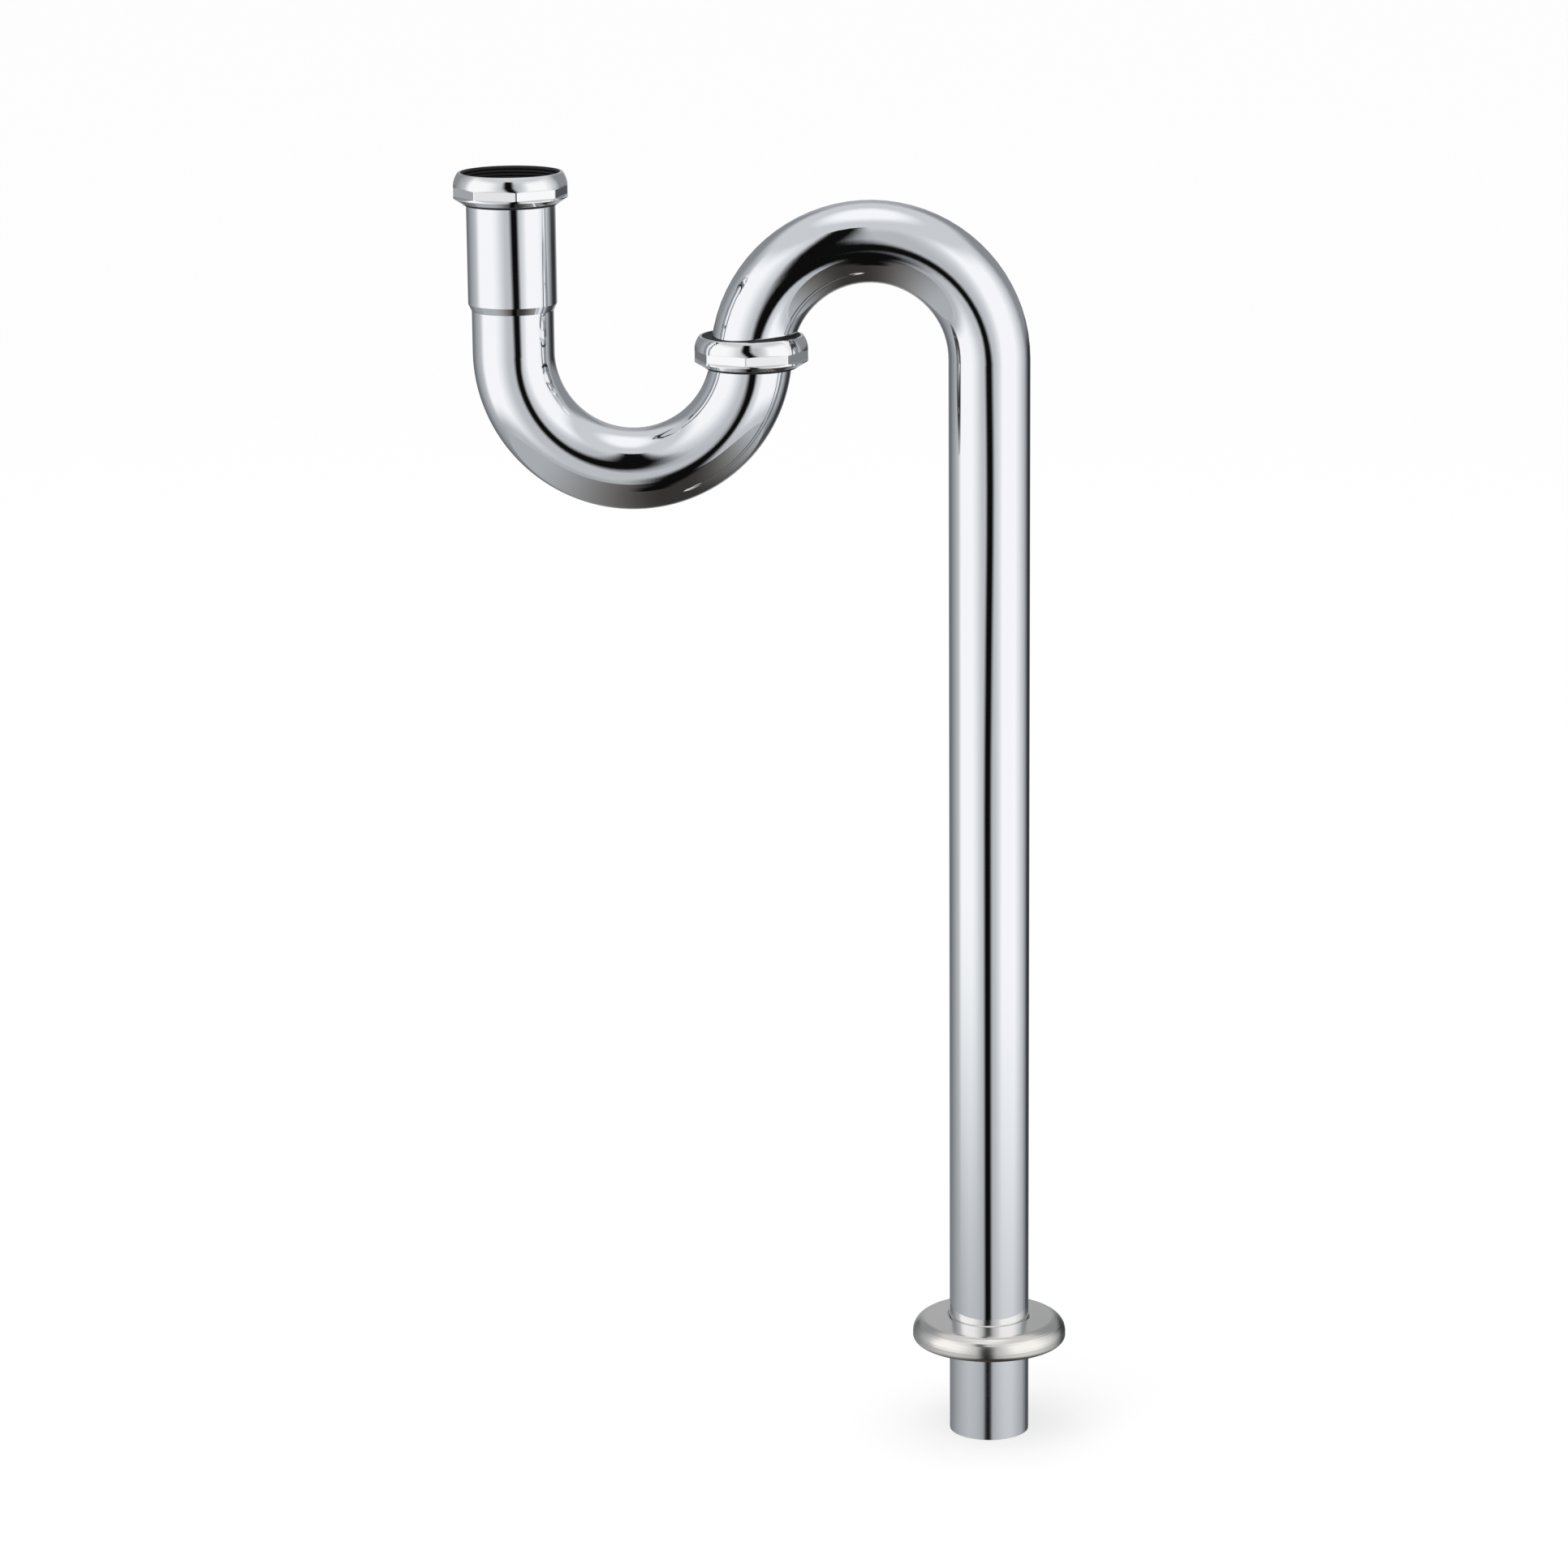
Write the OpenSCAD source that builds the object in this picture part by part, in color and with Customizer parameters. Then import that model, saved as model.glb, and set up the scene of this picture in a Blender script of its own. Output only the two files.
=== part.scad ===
// Tubular S-trap for a basin: a J-bend that holds the water, joined by a slip
// nut to an S-shaped pipe whose long leg drops through a floor flange.
// The outlet pipe stands on the origin, the floor is at z = 0, and the inlet
// lies towards -X.

/* [Tube] */
// Outside diameter of the tube
tube_d = 31.8; // [28:0.1:36]
// Wall of the tube
tube_wall = 1; // [0.6:0.1:1.4]
// Centre-line radius of both bends
bend_r = 46.1; // [44:0.1:60]

/* [Heights] */
// Height of the S-bend's centre above the floor
drop_h = 400; // [250:1:700]
// Length of the pipe below the floor
stub_h = 38; // [15:1:80]
// How far the J-bend's centre lies above the S-bend's centre
bend_step = 3.8; // [3:0.1:5]
// Straight narrow tube above the J-bend, before the inlet widens
inlet_neck_h = 16.3; // [8:0.1:60]
// Height over which the inlet widens
taper_h = 2.8; // [1.5:0.1:6]
// Depth of the wide inlet socket
socket_h = 41.9; // [25:0.1:60]

/* [Ends] */
// Room around a tail pipe of the same tube in the inlet socket
socket_gap = 0.35; // [0.1:0.05:0.5]
// Thickness of the rolled lips that hold the nuts
lip_t = 1; // [0.6:0.1:1.5]
// Height of the J-bend's outlet lip above the S-bend's centre
joint_lip_h = 0.9; // [0.6:0.1:1.2]
// Thickness of the flat gaskets
gasket_t = 2; // [1:0.1:3]
// How far a gasket stays inside the edge of its lip
gasket_inset = 0.1; // [0.05:0.05:0.5]
// Thickness of the slip rings under the lips
slip_t = 0.8; // [0.5:0.1:1.5]
// Gap left between faces that turn or slide on each other
face_gap = 0.05; // [0.02:0.01:0.1]

/* [Thread] */
// How far the thread lies outside the inlet socket
thread_land = 1.35; // [1:0.05:2.5]
// Radial play of the thread
thread_play = 0.05; // [0.02:0.01:0.1]
// Room between a lip and the thread of its nut
lip_play = 0.35; // [0.2:0.05:0.5]
// Height of the threaded collar on the S-pipe
collar_h = 6.5; // [4:0.1:7]
// Brazing gap between the collar and the pipe in it
braze_gap = 0.05; // [0.02:0.01:0.1]
// Rise of the thread in one turn
thread_pitch = 1.27; // [1:0.01:1.5]

/* [Nuts] */
// Height of a nut
nut_h = 12.6; // [11:0.1:14]
// Number of flats on a nut
nut_sides = 8; // [6:1:8]
// Wall between the thread and a flat
nut_wall = 1.85; // [1.2:0.05:3]
// Thickness of the holed shoulder
nut_shoulder = 1.8; // [1.2:0.1:2.5]
// Room between a nut's hole and the tube in it
hole_play = 0.25; // [0.15:0.05:0.5]
// Width of the rim around the hole, underneath
rim_land = 0.25; // [0.15:0.05:1]
// Height of the cone under the flats
cone_h = 2.9; // [2:0.1:3.4]
// Height of the straight land between the cone and the crown
land_h = 4.2; // [3:0.1:4.6]
// Height of the flats' lower corner above the nut's bottom
band_z = 3.8; // [3.5:0.1:4.5]
// Height of a flat at its corners
band_h = 3.2; // [1.5:0.1:3.5]
// Rise of the sloped edges over and under a flat
flat_ease = 0.6; // [0.3:0.1:1]
// Radius of the crown's outline
crown_round = 9; // [8:0.5:14]
// How much is turned off the corners of a nut
corner_cut = 0.1; // [0.05:0.05:0.3]
// Rounding of the nut's top edge
nut_round = 0.6; // [0.2:0.1:0.8]
// Depth of the plain seat behind the thread, outside the thread
relief = 0.4; // [0.3:0.05:0.8]
// Bevel at the mouth of the thread
mouth_bevel = 0.5; // [0.2:0.1:0.8]
// Turn of the inlet nut
inlet_nut_turn = 10; // [0:1:45]
// Turn of the joint nut
joint_nut_turn = -4; // [-45:1:0]

/* [Floor flange] */
// Outside diameter of the floor flange
flange_d = 61.6; // [56:0.1:90]
// Height of the floor flange
flange_h = 10.3; // [7:0.1:20]
// Thickness of the flange's sheet
sheet = 0.7; // [0.5:0.1:1]
// Radius of the flange's shoulder
shoulder_r = 6; // [4:0.1:6.5]
// Radius of the rim below the widest level
rim_r = 2; // [1.2:0.1:2.5]
// Width of the flat foot inside the rim
foot = 1.5; // [0.8:0.1:3]
// How far the flange's flat top falls towards its shoulder
top_fall = 0.8; // [0.2:0.1:1.5]
// Length of the turned-down neck that grips the pipe
neck_h = 3; // [1.5:0.1:5]
// Radius of the fold between the top and the neck
fold_r = 1.2; // [0.8:0.1:2]
// Running fit of the flange on the pipe
flange_play = 0.05; // [0.02:0.01:0.1]

/* [Hidden] */
$fn = 96;
// Overlap of a cutting shape past the face that it cuts
cut = 1;

// Tube and socket radii
tube_r = tube_d / 2;
bore_r = tube_r - tube_wall;
socket_in_r = tube_r + socket_gap;
socket_out_r = socket_in_r + tube_wall;

// Thread radii, the same for the collar and both nuts
thread_r = socket_out_r + thread_land;
nut_bore_r = thread_r + thread_play;
relief_r = nut_bore_r + relief;
lip_r = nut_bore_r - lip_play;
gasket_r = lip_r - gasket_inset;

// Places of the bends and of the upright axes
s_x = -bend_r;
joint_x = -2 * bend_r;
j_x = -3 * bend_r;
inlet_x = -4 * bend_r;
j_z = drop_h + bend_step;

// Levels of the stack at the joint, from the lip up and down
joint_lip_z = drop_h + joint_lip_h;
collar_z = joint_lip_z + gasket_t + 2 * face_gap;
joint_slip_z = joint_lip_z - lip_t - face_gap - slip_t;
joint_nut_z = joint_slip_z - face_gap - nut_shoulder;

// Levels of the stack at the inlet
taper_z = j_z + inlet_neck_h;
socket_z = taper_z + taper_h;
inlet_lip_z = socket_z + socket_h;
inlet_slip_z = inlet_lip_z - lip_t - face_gap - slip_t;
inlet_nut_z = inlet_slip_z - face_gap - nut_shoulder;

// Reach of the J-bend's inner side from its leg's axis, at a depth under its centre
function bend_reach(depth) = bend_r - sqrt(pow(bend_r - tube_r, 2) - pow(depth, 2));

// Holes of the nuts: the joint nut clears the bend also when it is one turn down
joint_hole_r = bend_reach(j_z - joint_nut_z + thread_pitch) + hole_play;
inlet_hole_r = socket_out_r + hole_play;

// Nut outline
flat_r = nut_bore_r + nut_wall;
corner_r = flat_r / cos(180 / nut_sides);
turned_r = corner_r - corner_cut;
crown_z = cone_h + land_h;
crown_x = turned_r - crown_round;
seat_h = nut_shoulder + slip_t + lip_t + gasket_t + 4 * face_gap;

// Points of an arc about a centre, from one angle to another
function arc(cx, cy, r, a0, a1, first = 0, steps = 8) = [
    for (i = [first : steps]) [
        cx + r * cos(a0 + (a1 - a0) * i / steps),
        cy + r * sin(a0 + (a1 - a0) * i / steps)
    ]
];

// A solid bend in the XZ plane, from one angle to another about its centre
module bend(x, z, r, a0, a1) {
    translate([x, 0, z])
        rotate([90, 0, 0])
            rotate([0, 0, a0])
                rotate_extrude(angle = a1 - a0)
                    translate([bend_r, 0])
                        circle(r = r);
}

// An upright solid cylinder between two levels
module upright(x, z0, z1, r) {
    translate([x, 0, z0])
        cylinder(h = z1 - z0, r = r);
}

// A flat ring with an upright axis
module ring(x, z, h, r_out, r_in) {
    difference() {
        upright(x, z, z + h, r_out);
        upright(x, z - cut, z + h + cut, r_in);
    }
}

// The S-pipe's run at one radius: the long leg and the whole half turn
module s_run(r, z_end) {
    upright(0, z_end, drop_h, r);
    bend(s_x, drop_h, r, 0, 180);
}

// S-bend and outlet leg, one tube, cut level where it meets the joint
module s_pipe() {
    color("silver")
        difference() {
            s_run(tube_r, -stub_h);
            s_run(bore_r, -stub_h - cut);
            translate([joint_x - bend_r, -bend_r, drop_h - cut])
                cube([2 * bend_r, 2 * bend_r, collar_z - drop_h + cut]);
        }
}

// Threaded ring brazed on the S-pipe's end; its bore follows the bend
module joint_collar() {
    color("silver")
        difference() {
            upright(joint_x, collar_z, collar_z + collar_h, thread_r);
            bend(s_x, drop_h, tube_r + braze_gap, 0, 180);
        }
}

module joint_gasket() {
    color("dimgray")
        ring(joint_x, joint_lip_z + face_gap, gasket_t, gasket_r, bore_r);
}

module joint_slip_ring() {
    color("whitesmoke")
        ring(joint_x, joint_slip_z, slip_t, lip_r, joint_hole_r);
}

// The J-bend's run at one wall: bend, neck, taper and socket, up to the inlet lip
module j_run(r, socket_r, z_top) {
    bend(j_x, j_z, r, 180, 360);
    upright(inlet_x, j_z, taper_z, r);
    translate([inlet_x, 0, taper_z])
        cylinder(h = taper_h, r1 = r, r2 = socket_r);
    upright(inlet_x, socket_z, z_top, socket_r);
}

// J-bend with a rolled lip at both ends and an expanded inlet socket
module j_bend() {
    color("silver")
        difference() {
            union() {
                j_run(tube_r, socket_out_r, inlet_lip_z);
                upright(inlet_x, inlet_lip_z - lip_t, inlet_lip_z, lip_r);
                upright(joint_x, joint_lip_z - lip_t, joint_lip_z, lip_r);
            }
            j_run(bore_r, socket_in_r, inlet_lip_z + cut);
            translate([j_x, -bend_r, joint_lip_z])
                cube([2 * bend_r, 2 * bend_r, j_z - joint_lip_z + cut]);
        }
}

module inlet_gasket() {
    color("dimgray")
        ring(inlet_x, inlet_lip_z + face_gap, gasket_t, gasket_r, socket_in_r);
}

module inlet_slip_ring() {
    color("whitesmoke")
        ring(inlet_x, inlet_slip_z, slip_t, lip_r, inlet_hole_r);
}

// Turned profile of a nut: cone from the rim, land, crown and rounded top edge
module nut_turning(rim) {
    edge_z = nut_h - nut_round;
    edge_x = crown_x + sqrt(pow(crown_round - nut_round, 2) - pow(edge_z - crown_z, 2));
    crown_end = atan2(edge_z - crown_z, edge_x - crown_x);
    rotate_extrude()
        polygon(concat(
            [
                [0, 0],
                [rim, 0],
                [turned_r, cone_h]
            ],
            arc(crown_x, crown_z, crown_round, 0, crown_end),
            arc(edge_x, edge_z, nut_round, crown_end, 90, 1),
            [[0, nut_h]]
        ));
}

// Cutter for one flat: a long bar whose upper and lower faces slope outwards
module flat_cutter() {
    slope = flat_ease / (turned_r - flat_r);
    reach = turned_r + cut;
    spread = slope * (reach - flat_r);
    translate([0, turned_r, 0])
        rotate([90, 0, 0])
            linear_extrude(height = 2 * turned_r)
                polygon([
                    [flat_r, band_z],
                    [reach, band_z - spread],
                    [reach, band_z + band_h + spread],
                    [flat_r, band_z + band_h]
                ]);
}

// Bore of a nut: hole in the shoulder, plain seat, thread and beveled mouth
module nut_bore(hole_r) {
    rotate_extrude()
        polygon([
            [0, -cut],
            [hole_r, -cut],
            [hole_r, nut_shoulder],
            [relief_r, nut_shoulder],
            [relief_r, seat_h],
            [nut_bore_r, seat_h + relief],
            [nut_bore_r, nut_h - mouth_bevel],
            [nut_bore_r + mouth_bevel, nut_h],
            [nut_bore_r + mouth_bevel, nut_h + cut],
            [0, nut_h + cut]
        ]);
}

module slip_nut(x, z, hole_r, turn) {
    translate([x, 0, z])
        rotate([0, 0, turn])
            difference() {
                nut_turning(hole_r + rim_land);
                for (i = [0 : nut_sides - 1])
                    rotate([0, 0, (i + 0.5) * 360 / nut_sides])
                        flat_cutter();
                nut_bore(hole_r);
            }
}

module joint_nut() {
    color("gainsboro")
        slip_nut(joint_x, joint_nut_z, joint_hole_r, joint_nut_turn);
}

module inlet_nut() {
    color("gainsboro")
        slip_nut(inlet_x, inlet_nut_z, inlet_hole_r, inlet_nut_turn);
}

// Spun dome of thin sheet with a flat foot and a turned-down neck
module floor_flange() {
    rim_x = flange_d / 2 - rim_r;
    shoulder_x = flange_d / 2 - shoulder_r;
    shoulder_z = flange_h - top_fall - shoulder_r;
    neck_x = tube_r + flange_play;
    fold_x = neck_x + fold_r;
    fold_z = flange_h - fold_r;
    inner_r = shoulder_r - sheet;
    inner_fold = fold_r - sheet;
    color("lightgray")
        rotate_extrude()
            polygon(concat(
                [[rim_x - foot, 0]],
                arc(rim_x, rim_r, rim_r, -90, 0),
                arc(shoulder_x, shoulder_z, shoulder_r, 0, 84),
                arc(fold_x, fold_z, fold_r, 90, 180),
                [
                    [neck_x, flange_h - neck_h],
                    [neck_x + sheet, flange_h - neck_h]
                ],
                arc(fold_x, fold_z, inner_fold, 180, 90),
                arc(shoulder_x, shoulder_z, inner_r, 84, 0),
                arc(rim_x, rim_r, rim_r - sheet, 0, -90),
                [[rim_x - foot, sheet]]
            ));
}

s_pipe();
joint_collar();
joint_gasket();
joint_slip_ring();
joint_nut();
j_bend();
inlet_gasket();
inlet_slip_ring();
inlet_nut();
floor_flange();
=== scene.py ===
# %% [markdown]
# # A chromed S-trap
#
# The object is the drain trap of a wash basin: a J-shaped bend that holds water,
# an S-shaped pipe with one long leg, two slip nuts and a floor flange. It is
# nearly all mirror, so most of this lesson is about what a mirror sees.
#
# The model comes from CAD with every solid in its place. It could be modelled
# again here, but then the sizes could drift, so the CAD meshes stay as they are
# and only get their finish. No new piece of the object is made here.

# %% Load the frame
import math

import bpy
from mathutils import Matrix, Vector


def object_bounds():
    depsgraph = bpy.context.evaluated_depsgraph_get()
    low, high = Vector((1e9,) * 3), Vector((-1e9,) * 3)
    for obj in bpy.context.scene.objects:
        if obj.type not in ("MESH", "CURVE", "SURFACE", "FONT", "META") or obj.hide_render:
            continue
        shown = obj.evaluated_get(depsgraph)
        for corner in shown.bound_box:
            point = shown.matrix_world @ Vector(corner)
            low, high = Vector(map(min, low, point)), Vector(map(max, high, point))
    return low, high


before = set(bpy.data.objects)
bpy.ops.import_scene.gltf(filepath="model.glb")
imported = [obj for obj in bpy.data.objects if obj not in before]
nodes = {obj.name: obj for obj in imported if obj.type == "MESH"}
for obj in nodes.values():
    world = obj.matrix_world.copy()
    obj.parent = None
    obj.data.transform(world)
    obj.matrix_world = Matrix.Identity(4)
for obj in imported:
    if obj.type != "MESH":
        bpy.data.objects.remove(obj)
cad_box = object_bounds()
print("CAD nodes:", sorted(nodes))
print("CAD box in mm:", [[round(1000 * v, 1) for v in corner] for corner in cad_box])

# %% [markdown]
# ## The camera
#
# The photograph was taken from a little above the object with a long lens, so
# upright lines stay nearly parallel. The camera could be aimed with a tracking
# constraint, but three angles and a place say the same and need no target.

# %% Place the camera
CAMERA_PLACE = Vector((-0.0257, -2.0326, 0.7240))
CAMERA_YAW = math.radians(-1.56)
CAMERA_PITCH = math.radians(13.63)
CAMERA_ROLL = math.radians(-0.52)
CAMERA_LENS = 121.58
SENSOR_WIDTH = 36.0


def camera_matrix(place, yaw, pitch, roll):
    """World matrix of a camera that looks along +Y, turned and tilted down."""
    forward = Vector((
        math.sin(yaw) * math.cos(pitch),
        math.cos(yaw) * math.cos(pitch),
        -math.sin(pitch),
    ))
    level = Vector((math.cos(yaw), -math.sin(yaw), 0))
    upward = level.cross(forward)
    right = math.cos(roll) * level + math.sin(roll) * upward
    top = -math.sin(roll) * level + math.cos(roll) * upward
    turn = Matrix((right, top, -forward)).transposed()
    return Matrix.Translation(place) @ turn.to_4x4()


camera_data = bpy.data.cameras.new("camera")
camera_data.lens = CAMERA_LENS
camera_data.sensor_width = SENSOR_WIDTH
camera = bpy.data.objects.new("camera", camera_data)
camera.matrix_world = camera_matrix(CAMERA_PLACE, CAMERA_YAW, CAMERA_PITCH, CAMERA_ROLL)
scene = bpy.context.scene
scene.collection.objects.link(camera)
scene.camera = camera
scene.view_settings.view_transform = "Standard"
print("camera distance in m:", round(CAMERA_PLACE.length, 3))

# %% [markdown]
# ## Shader maths as plain expressions
#
# A material is a tree of nodes. Wiring dozens of Math nodes by hand hides the
# idea, so a small class lets an expression such as `1 - mask` add them. Every
# other kind of node comes from one function that sets it up and links it.

# %% A wire that can be reckoned with
class Wire:
    """An output socket. Arithmetic on it adds Math nodes to its tree."""

    def __init__(self, socket):
        self.socket = socket
        self.tree = socket.id_data

    def math(self, operation, *others):
        values = dict(enumerate((self,) + others))
        return add_node(self.tree, "ShaderNodeMath", {"operation": operation}, values)

    def reversed_math(self, operation, other):
        values = {0: other, 1: self}
        return add_node(self.tree, "ShaderNodeMath", {"operation": operation}, values)

    def __add__(self, other):
        return self.math("ADD", other)

    def __sub__(self, other):
        return self.math("SUBTRACT", other)

    def __mul__(self, other):
        return self.math("MULTIPLY", other)

    def __truediv__(self, other):
        return self.math("DIVIDE", other)

    def __rsub__(self, other):
        return self.reversed_math("SUBTRACT", other)

    def __rtruediv__(self, other):
        return self.reversed_math("DIVIDE", other)

    __radd__ = __add__
    __rmul__ = __mul__

    def step(self, low, high):
        """0 below low and 1 above high, smooth in between."""
        settings = {"interpolation_type": "SMOOTHSTEP"}
        return add_node(self.tree, "ShaderNodeMapRange", settings, {0: self, 1: low, 2: high})

    def toward(self, other, share):
        """This value where share is 0 and the other where it is 1."""
        return self * (1 - share) + other * share


def add_node(tree, kind, settings=None, values=None, output=0):
    """Adds a node, sets it up, feeds its sockets and returns one output."""
    made = tree.nodes.new(kind)
    for key, value in (settings or {}).items():
        if key == "stops":
            elements = made.color_ramp.elements
            while len(elements) < len(value):
                elements.new(0.5)
            for element, (place, colour) in zip(elements, value):
                element.position = place
                element.color = colour
        else:
            setattr(made, key, value)
    for key, value in (values or {}).items():
        if isinstance(value, Wire):
            tree.links.new(value.socket, made.inputs[key])
        else:
            made.inputs[key].default_value = value
    return Wire(made.outputs[output])


def new_material(name):
    """An empty material tree and its output node."""
    material = bpy.data.materials.new(name)
    material.use_nodes = True
    material.node_tree.nodes.clear()
    return material, material.node_tree


def show(tree, shader, kind="ShaderNodeOutputMaterial"):
    """Links a finished shader to the tree's output."""
    output = tree.nodes.new(kind)
    tree.links.new(shader.socket, output.inputs["Surface"])


def grey(level):
    """A linear grey as a colour."""
    return (level, level, level, 1.0)


def object_place(tree):
    """The x, y and z of the shaded point, in metres in the object's own frame."""
    place = add_node(tree, "ShaderNodeTexCoord", output="Object")
    return [add_node(tree, "ShaderNodeSeparateXYZ", values={0: place}, output=i) for i in range(3)]


def blend_colours(tree, share, first, second):
    """The first colour where share is 0 and the second where it is 1."""
    settings = {"data_type": "RGBA"}
    return add_node(tree, "ShaderNodeMix", settings, {0: share, 6: first, 7: second}, output=2)


print("shader helpers ready")

# %% [markdown]
# ## Floor and background
#
# The photograph has a plain white ground. It could be lit until it burns out,
# but that light would fall on the object too. So the floor and the world show
# white only to the camera and to mirrors, and the world's real light is plainer.
# The floor still takes the object's shadow.

# %% Floor and world
FLOOR_Z = cad_box[0].z
FLOOR_SIZE = 16.0
FLOOR_COLOUR = 0.88
FLOOR_LIFT = 0.42
WORLD_LIGHT = 0.64


def is_background_ray(tree):
    """1 for rays that show the background: camera, mirror and glass rays."""
    total = 0.0
    for kind in ("Is Camera Ray", "Is Glossy Ray", "Is Transmission Ray"):
        total = add_node(tree, "ShaderNodeLightPath", output=kind) + total
    return total.math("MINIMUM", 1.0)


world = bpy.data.worlds.new("studio")
world.use_nodes = True
world.node_tree.nodes.clear()
level = is_background_ray(world.node_tree) * (1 - WORLD_LIGHT) + WORLD_LIGHT
values = {"Color": grey(1.0), "Strength": level}
glow = add_node(world.node_tree, "ShaderNodeBackground", values=values)
show(world.node_tree, glow, "ShaderNodeOutputWorld")
scene.world = world

bpy.ops.object.select_all(action="DESELECT")
bpy.ops.mesh.primitive_plane_add(size=FLOOR_SIZE, location=(0, 0, FLOOR_Z))
floor = bpy.context.object
floor.name = "floor"
bpy.ops.object.transform_apply(location=True, rotation=True, scale=True)
material, tree = new_material("floor_white")
paper = add_node(tree, "ShaderNodeBsdfDiffuse", values={"Color": grey(FLOOR_COLOUR)})
lift_strength = is_background_ray(tree) * FLOOR_LIFT
lift = add_node(tree, "ShaderNodeEmission", values={"Strength": lift_strength})
show(tree, add_node(tree, "ShaderNodeAddShader", values={0: paper, 1: lift}))
floor.data.materials.append(material)
floor.visible_glossy = False
print("floor at z in mm:", round(1000 * FLOOR_Z, 1))

# %% [markdown]
# ## The tent that the chrome sees
#
# Chrome has no look of its own: it shows its surroundings. The photograph's
# reflections tell of a white tent with two bright sides, a dark slit for the
# camera, a dim back, which draws the edges, a bright top and a dark strip of
# ground. Lamps alone would give small hard spots. So the tent is a big drum that
# glows by direction, and only mirrors see it. It reaches below the floor, because
# the photographed trap hung free, and its whole leg mirrors the tent's sides.
#
# Each side's glow is a ramp by azimuth, from 0 in front to 180 behind. One ramp
# holds for the bright upper cloth and one for its dimmer foot.

# %% The tent's glow
TENT_RADIUS = 1.30
TENT_TOP = 1.90
TENT_BOTTOM = -0.62
TENT_X = -0.09
UPPER_GLOW = (
    (-180, 0.45), (-168, 0.40), (-158, 0.13), (-135, 0.24), (-110, 0.46), (-100, 0.56), (-87, 1.0),
    (-50, 1.0), (-38, 0.90), (-28, 0.74), (-16, 0.58), (12, 0.52), (22, 0.62),
    (30, 0.76), (40, 1.0), (78, 1.0), (90, 0.84), (110, 0.55), (122, 0.30),
    (133, 0.06), (146, 0.03), (158, 0.10), (168, 0.40), (180, 0.45),
)
FOOT_GLOW = (
    (-180, 0.20), (-135, 0.27), (-110, 0.38), (-80, 0.49), (-60, 0.55), (-30, 0.50),
    (-16, 0.44), (12, 0.48), (30, 0.57), (50, 0.62), (70, 0.62), (90, 0.50),
    (110, 0.40), (126, 0.20), (135, 0.08), (150, 0.10), (180, 0.20),
)
FOOT_LEVELS = (-0.50, -0.16)
BACK_GLOW = 0.28
BACK_LEVELS = (0.20, 0.45)
RIM_GLOW = 0.66
RIM_LEVELS = (1.15, 1.85)
GROUND_GLOW = 0.46
STRIP_GLOW = 0.04
STRIP_LEFT = (-0.95, 0.00)
STRIP_RIGHT = (1.10, 0.15)
COOL_CLOTH = (0.87, 0.94, 1.0, 1.0)
WHITE_CLOTH = (1.0, 1.0, 1.0, 1.0)
BROWN_STRIP = (1.0, 0.93, 0.86, 1.0)


def only_for_mirrors(prop):
    """Keeps a stage prop out of every ray but those of mirrors."""
    prop.visible_camera = False
    prop.visible_diffuse = False
    prop.visible_shadow = False
    prop.visible_transmission = False
    prop.visible_volume_scatter = False


def ramp(tree, share, marks):
    """A grey ramp from -180 to 180 degrees, read as a number."""
    stops = [(angle / 360 + 0.5, grey(value)) for angle, value in marks]
    colour = add_node(tree, "ShaderNodeValToRGB", {"stops": stops}, {0: share})
    return add_node(tree, "ShaderNodeRGBToBW", values={0: colour})


def tent_cloth():
    """Cloth that glows by azimuth and height, with a soft lamp over the object."""
    material, tree = new_material("tent_cloth")
    x, y, z = object_place(tree)
    turn = (x - TENT_X).math("ARCTAN2", -1 * y) / (2 * math.pi) + 0.5
    low, high = FOOT_LEVELS
    side = ramp(tree, turn, FOOT_GLOW).toward(ramp(tree, turn, UPPER_GLOW), z.step(low, high))
    low, high = BACK_LEVELS
    side = side.math("MAXIMUM", z.step(low, high) * BACK_GLOW)
    low, high = RIM_LEVELS
    side = side.toward(RIM_GLOW, z.step(low, high))
    across = x - TENT_X
    distance = (across * across + y * y).math("SQRT")
    top = 1 - distance.step(0.30, 0.80) * (1 - RIM_GLOW)
    glow = side.toward(top, z.step(TENT_TOP - 0.03, TENT_TOP - 0.01))
    strip = x.step(*STRIP_LEFT) * x.step(*STRIP_RIGHT)
    ground = strip * (STRIP_GLOW - GROUND_GLOW) + GROUND_GLOW
    below = z.step(TENT_BOTTOM + 0.03, TENT_BOTTOM + 0.01)
    glow = glow.toward(ground, below)
    colour = blend_colours(tree, glow, COOL_CLOTH, WHITE_CLOTH)
    colour = blend_colours(tree, strip * below, colour, BROWN_STRIP)
    show(tree, add_node(tree, "ShaderNodeEmission", values={"Color": colour, "Strength": glow}))
    return material


bpy.ops.object.select_all(action="DESELECT")
bpy.ops.mesh.primitive_cylinder_add(
    vertices=128,
    radius=TENT_RADIUS,
    depth=TENT_TOP - TENT_BOTTOM,
    location=(TENT_X, 0, (TENT_TOP + TENT_BOTTOM) / 2),
)
tent = bpy.context.object
tent.name = "tent"
bpy.ops.object.transform_apply(location=True, rotation=True, scale=True)
tent.data.materials.append(tent_cloth())
only_for_mirrors(tent)
print("tent from", TENT_BOTTOM, "to", TENT_TOP, "m")

# %% [markdown]
# ## The dark slit
#
# The stripe down the middle of every tube is the slit that the camera looks
# through. It stands close, so each tube mirrors it at its own angle. A hard
# black card would draw a ruled line. The photograph's stripe has soft edges and
# wanders a little, so the card is a grid whose rows are shifted one by one, and
# it fades out to both sides.

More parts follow.
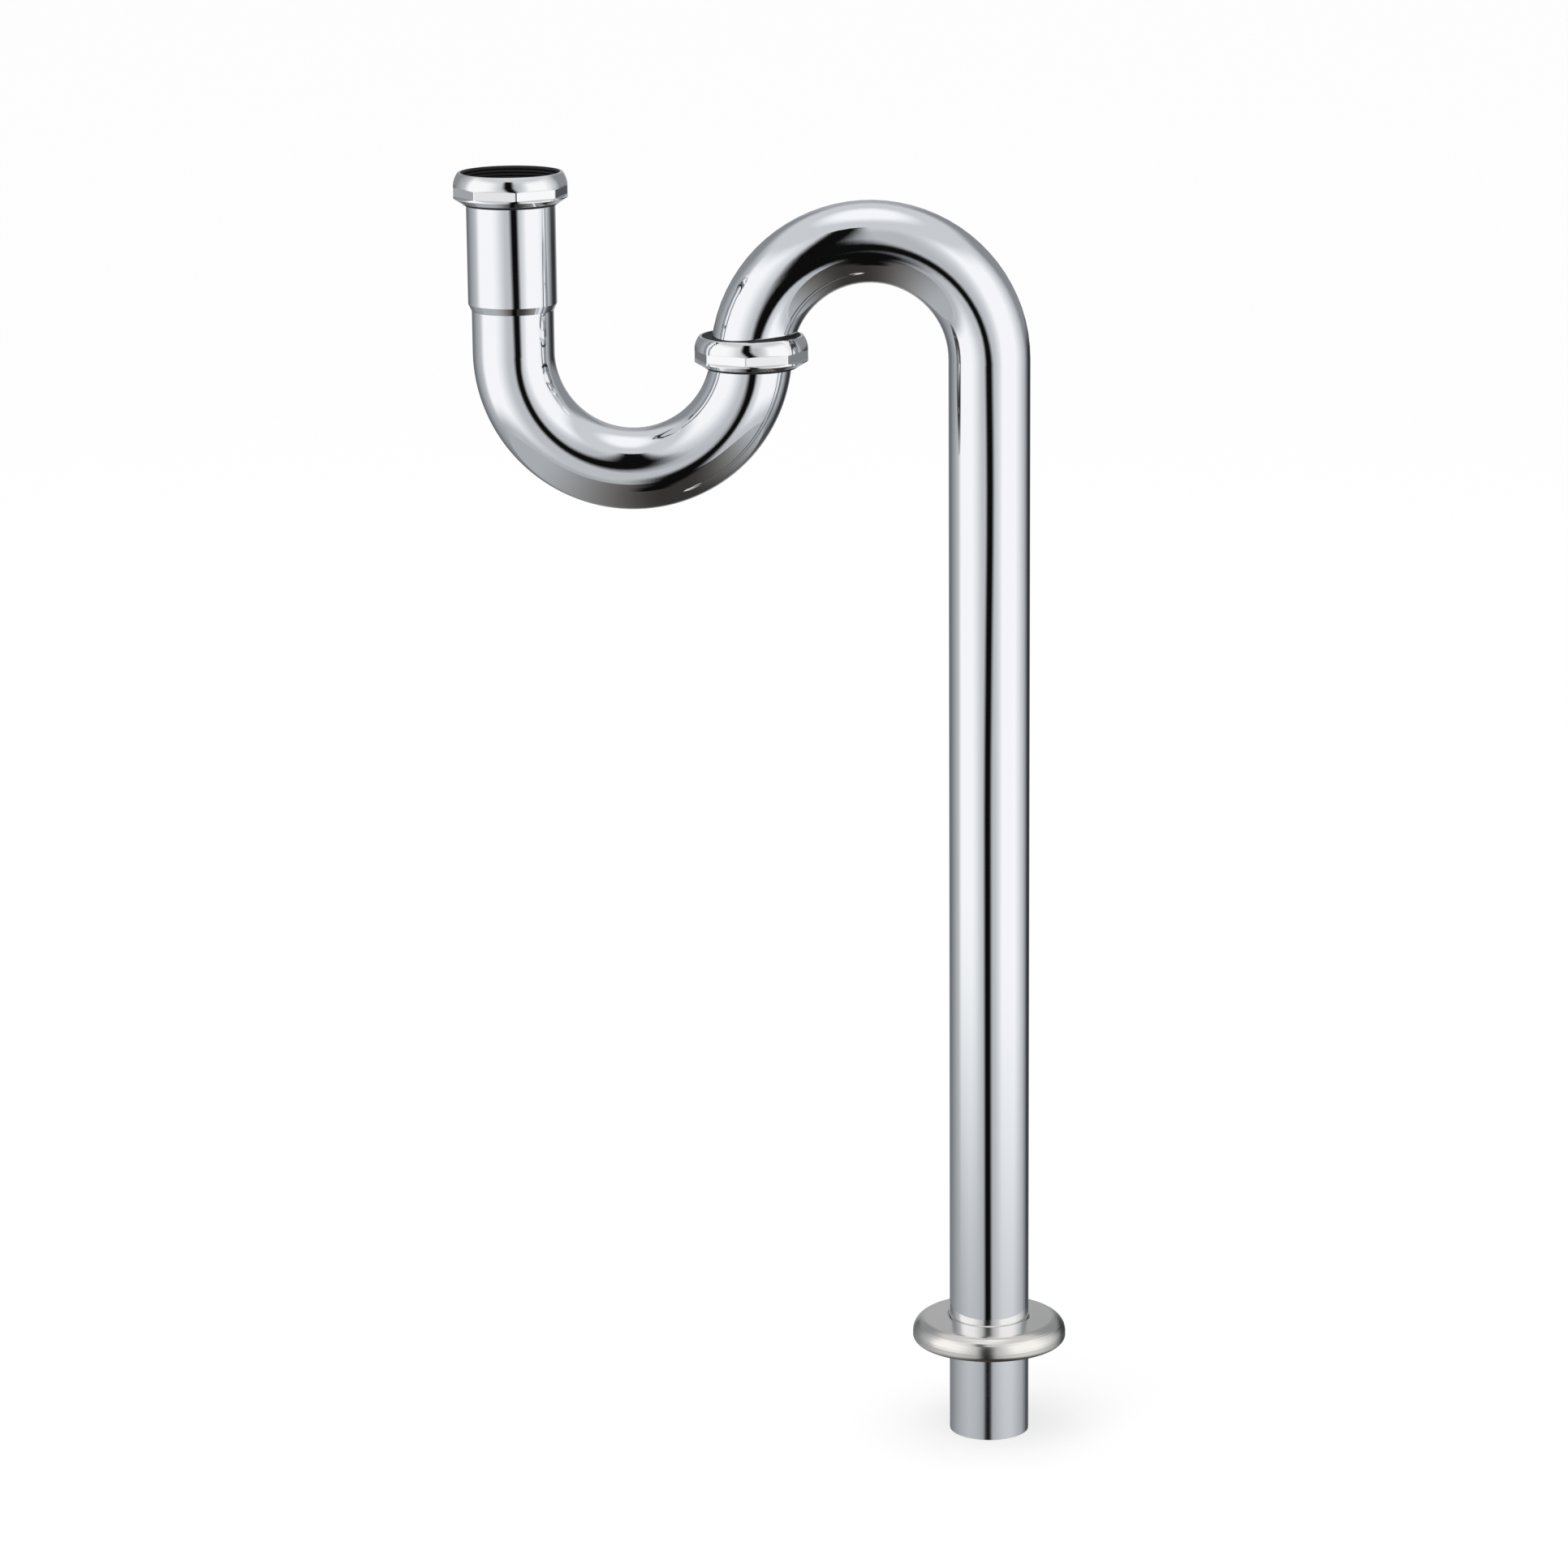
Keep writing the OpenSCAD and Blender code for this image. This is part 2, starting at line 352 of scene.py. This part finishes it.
# %% The slit's card
SLIT_Y = -0.55
SLIT_HALF_WIDTH = 0.150
SLIT_CORE = 0.30
SLIT_LEVEL = 0.004
SLIT_ROWS = 60
SLIT_COURSE = (
    (-0.60, -0.075), (-0.34, -0.070), (-0.22, -0.035), (-0.05, -0.048), (0.10, -0.056),
    (0.16, -0.030), (0.24, 0.015), (0.29, 0.000), (0.34, -0.050), (0.39, -0.075),
    (0.47, -0.130), (0.60, -0.180), (1.05, -0.190),
)


def course(height):
    """Where the slit's middle lies at a height, between the marks above."""
    for (z0, x0), (z1, x1) in zip(SLIT_COURSE, SLIT_COURSE[1:]):
        if height <= z1:
            return x0 + (x1 - x0) * (height - z0) / (z1 - z0)
    return SLIT_COURSE[-1][1]


def slit_cloth():
    """Black in the middle of the card and clear at both of its edges."""
    material, tree = new_material("slit_cloth")
    place = add_node(tree, "ShaderNodeTexCoord", output="UV")
    across = add_node(tree, "ShaderNodeSeparateXYZ", values={0: place})
    edge = (across * 2 - 1).math("ABSOLUTE").step(SLIT_CORE, 1.0)
    black = add_node(tree, "ShaderNodeEmission", values={"Strength": SLIT_LEVEL})
    clear = add_node(tree, "ShaderNodeBsdfTransparent")
    show(tree, add_node(tree, "ShaderNodeMixShader", values={0: edge, 1: black, 2: clear}))
    return material


slit_bottom, slit_top = SLIT_COURSE[0][0], SLIT_COURSE[-1][0]
bpy.ops.object.select_all(action="DESELECT")
bpy.ops.mesh.primitive_grid_add(
    x_subdivisions=2,
    y_subdivisions=SLIT_ROWS,
    size=1,
    location=(0, SLIT_Y, (slit_top + slit_bottom) / 2),
    rotation=(math.radians(90), 0, 0),
)
slit = bpy.context.object
slit.name = "dark_slit"
slit.scale = (2 * SLIT_HALF_WIDTH, slit_top - slit_bottom, 1)
bpy.ops.object.transform_apply(location=True, rotation=True, scale=True)
for vertex in slit.data.vertices:
    vertex.co.x += course(vertex.co.z)
slit.data.materials.append(slit_cloth())
only_for_mirrors(slit)
print("slit card from", slit_bottom, "to", slit_top, "m")

# %% [markdown]
# ## One soft lamp
#
# The tent lights mirrors only. The washers, the rings and the floor need plain
# light, and the shadow on the floor needs a lamp. A sun would draw a hard edge,
# so a wide disc hangs high in front.

# %% The lamp
LAMP_PLACE = Vector((-0.6, -0.7, 1.9))
LAMP_SIZE = 1.4
LAMP_POWER = 4.0
lamp_data = bpy.data.lights.new("soft_lamp", "AREA")
lamp_data.shape = "DISK"
lamp_data.size = LAMP_SIZE
lamp_data.energy = LAMP_POWER
lamp = bpy.data.objects.new("soft_lamp", lamp_data)
lamp.location = LAMP_PLACE
lamp.rotation_euler = (-LAMP_PLACE).to_track_quat("-Z", "Y").to_euler()
lamp.visible_glossy = False
scene.collection.objects.link(lamp)
print("lamp power in W:", LAMP_POWER)

# %% [markdown]
# ## Chrome plate
#
# The tubes, nuts and collar are brass with bright chrome on the outside only.
# One flat metal would do from afar, but the real plate is buffed by hand: its
# gloss drifts, and a drawn tube keeps faint lines along its length. So the
# roughness drifts with a soft noise, and a bump of stretched noise, a few
# thousandths of a millimetre deep, breaks up the mirrored edges. The inside of
# each tube isn't plated. It is dull brass, its colour painted nearly black as
# the shade in the bore, and the threads in the nuts are painted nearly black as
# shade too. A mask by distance from the upright axis tells inside from outside.

# %% The chrome material
MM = 0.001
CHROME_COLOUR = (0.90, 0.915, 0.94, 1.0)
NUT_CHROME = (0.93, 0.935, 0.945, 1.0)
# Painted shade: the unplated insides of the tubes and the nuts' threads are coloured nearly black
# for the shade inside them.
UNPLATED_BRASS_SHADE = (0.060, 0.052, 0.043, 1.0)
UNPLATED_NUT_SHADE = (0.022, 0.022, 0.023, 1.0)
BARE_ROUGHNESS = 0.55
TUBE_X = {"s_pipe": 0.0, "joint": -92.2 * MM, "inlet": -184.4 * MM}
EDGE = 0.2 * MM


def stretched_noise(tree, x, y, z, across, along, detail=3.0):
    """Noise with its own scale across the tube and along it, in 1 per metre."""
    parts = {0: x * across, 1: y * across, 2: z * along}
    place = add_node(tree, "ShaderNodeCombineXYZ", values=parts)
    values = {"Vector": place, "Scale": 1.0, "Detail": detail}
    return add_node(tree, "ShaderNodeTexNoise", values=values)


def radius_from(x, y, axis_x):
    """Distance of the shaded point from an upright axis."""
    across = x - axis_x
    return (across * across + y * y).math("SQRT")


def inside_of(x, y, z, axis_x, radius, bottom, top):
    """1 within a radius of an upright axis and between two levels."""
    near = radius_from(x, y, axis_x).step(radius + EDGE, radius)
    return near * z.step(bottom - EDGE, bottom) * z.step(top + EDGE, top)


def thread_lines(z, pitch):
    """A rounded saw of one rise for each turn of the thread."""
    return (z * (2 * math.pi / pitch)).math("SINE") * 0.5 + 0.5


def chrome(name, colour, gloss, unplated_and_shaded, unplated_shade_colour=UNPLATED_BRASS_SHADE, satin=None, thread_pitch=None):
    """Bright plate. Two masks: the unplated inside, its colour painted shade, and the less buffed
    satin.
    """
    material, tree = new_material(name)
    x, y, z = object_place(tree)
    low, high = gloss
    roughness = stretched_noise(tree, x, y, z, 45.0, 45.0) * (high - low) + low
    height = stretched_noise(tree, x, y, z, 900.0, 25.0) * (0.002 * MM)
    if satin:
        lines = stretched_noise(tree, x, y, z, 2500.0, 60.0)
        roughness = roughness.toward(lines * 0.10 + 0.10, satin(x, y, z))
    mask = unplated_and_shaded(x, y, z)
    stain = stretched_noise(tree, x, y, z, 160.0, 160.0) * 0.25
    roughness = roughness.toward(stain + BARE_ROUGHNESS, mask)
    # The inside's colour is painted shade, nearly black where the bores lie in shadow.
    base = blend_colours(tree, mask, colour, unplated_shade_colour)
    metal = 1 - mask * 0.6
    if thread_pitch:
        height = height + thread_lines(z, thread_pitch) * mask * (0.35 * MM)
    values = {"Strength": 1.0, "Distance": 1.0, "Height": height}
    bump = add_node(tree, "ShaderNodeBump", values=values)
    values = {"Base Color": base, "Metallic": metal, "Roughness": roughness, "Normal": bump}
    show(tree, add_node(tree, "ShaderNodeBsdfPrincipled", values=values))
    return material


def finish_node(name, material):
    """Gives a CAD node its finish in the slot that it came with."""
    nodes[name].material_slots[0].material = material
    print(name, "has", material.name)


# %% Plate on the tubes, the collar and the nuts
THREAD_PITCH = 1.27 * MM


def pipe_bore(x, y, z):
    return inside_of(x, y, z, TUBE_X["s_pipe"], 15.4 * MM, -39 * MM, 400 * MM)


def below_floor(x, y, z):
    return z.step(4 * MM, -4 * MM)


def socket_bore(x, y, z):
    return inside_of(x, y, z, TUBE_X["inlet"], 16.6 * MM, 426 * MM, 470 * MM)


def nut_bore(axis):
    def mask(x, y, z):
        return inside_of(x, y, z, TUBE_X[axis], 19.15 * MM, 390 * MM, 480 * MM)
    return mask


tube = chrome("tube_chrome", CHROME_COLOUR, (0.025, 0.060), pipe_bore, satin=below_floor)
bend = chrome("bend_chrome", CHROME_COLOUR, (0.020, 0.050), socket_bore)
finish_node("s_pipe", tube)
finish_node("j_bend", bend)
THREADED = (
    ("joint_nut", "joint", (0.015, 0.040)),
    ("inlet_nut", "inlet", (0.015, 0.040)),
    ("joint_collar", "joint", (0.060, 0.120)),
)
for piece, axis, gloss in THREADED:
    bore = nut_bore(axis)
    name = piece + "_chrome"
    finish_node(piece, chrome(name, NUT_CHROME, gloss, bore, UNPLATED_NUT_SHADE, thread_pitch=THREAD_PITCH))

# %% [markdown]
# ## The spun flange
#
# The floor flange is thin sheet steel, spun on a lathe and polished. It is a
# little warmer and softer than the chrome. Spinning leaves fine rings round the
# axis. They could be modelled, but they are thousandths of a millimetre deep, so
# a bump by distance from the axis is enough, broken up so that no ring is even.

# %% The flange material
FLANGE_COLOUR = (0.93, 0.90, 0.855, 1.0)
RINGS_PER_METRE = 2600.0


def spun_steel(name):
    """Polished sheet with rings round the upright axis."""
    material, tree = new_material(name)
    x, y, z = object_place(tree)
    radius = radius_from(x, y, 0.0)
    drift = stretched_noise(tree, x, y, z, 40.0, 40.0)
    parts = {0: radius * RINGS_PER_METRE, 1: z * RINGS_PER_METRE}
    place = add_node(tree, "ShaderNodeCombineXYZ", values=parts)
    values = {"Vector": place, "Scale": 1.0, "Detail": 2.0}
    rings = add_node(tree, "ShaderNodeTexNoise", values=values)
    values = {"Strength": 1.0, "Distance": 1.0, "Height": rings * (0.004 * MM)}
    bump = add_node(tree, "ShaderNodeBump", values=values)
    roughness = drift * 0.06 + rings * 0.08 + 0.13
    values = {"Base Color": FLANGE_COLOUR, "Metallic": 1.0, "Roughness": roughness, "Normal": bump}
    show(tree, add_node(tree, "ShaderNodeBsdfPrincipled", values=values))
    return material


finish_node("floor_flange", spun_steel("flange_steel"))

# %% [markdown]
# ## Washers and friction rings
#
# Under the nuts lie black rubber washers and white plastic rings. Little of them
# shows, but a black hole in the nut's mouth is the rubber that the photograph
# shows there. Rubber is matt with a fine grain, and the hard plastic is smooth,
# a little cloudy and slightly yellow.

# %% Rubber and plastic
def moulded(name, dark, light, roughness, grain, depth):
    """A moulded part: cloudy colour, drifting gloss and a grain of some depth."""
    material, tree = new_material(name)
    x, y, z = object_place(tree)
    clouds = stretched_noise(tree, x, y, z, 220.0, 220.0)
    pits = stretched_noise(tree, x, y, z, grain, grain, 4.0)
    low, high = roughness
    values = {"Strength": 1.0, "Distance": 1.0, "Height": pits * depth}
    bump = add_node(tree, "ShaderNodeBump", values=values)
    values = {
        "Base Color": blend_colours(tree, clouds, dark, light),
        "Roughness": clouds * (high - low) + low,
        "Normal": bump,
    }
    show(tree, add_node(tree, "ShaderNodeBsdfPrincipled", values=values))
    return material


RUBBER = ((0.010, 0.010, 0.011, 1), (0.035, 0.035, 0.036, 1), (0.55, 0.80), 2600.0, 0.05 * MM)
PLASTIC = ((0.70, 0.69, 0.63, 1), (0.82, 0.81, 0.77, 1), (0.30, 0.45), 900.0, 0.01 * MM)
for place in ("joint", "inlet"):
    finish_node(place + "_gasket", moulded(place + "_rubber", *RUBBER))
    finish_node(place + "_slip_ring", moulded(place + "_slip_plastic", *PLASTIC))
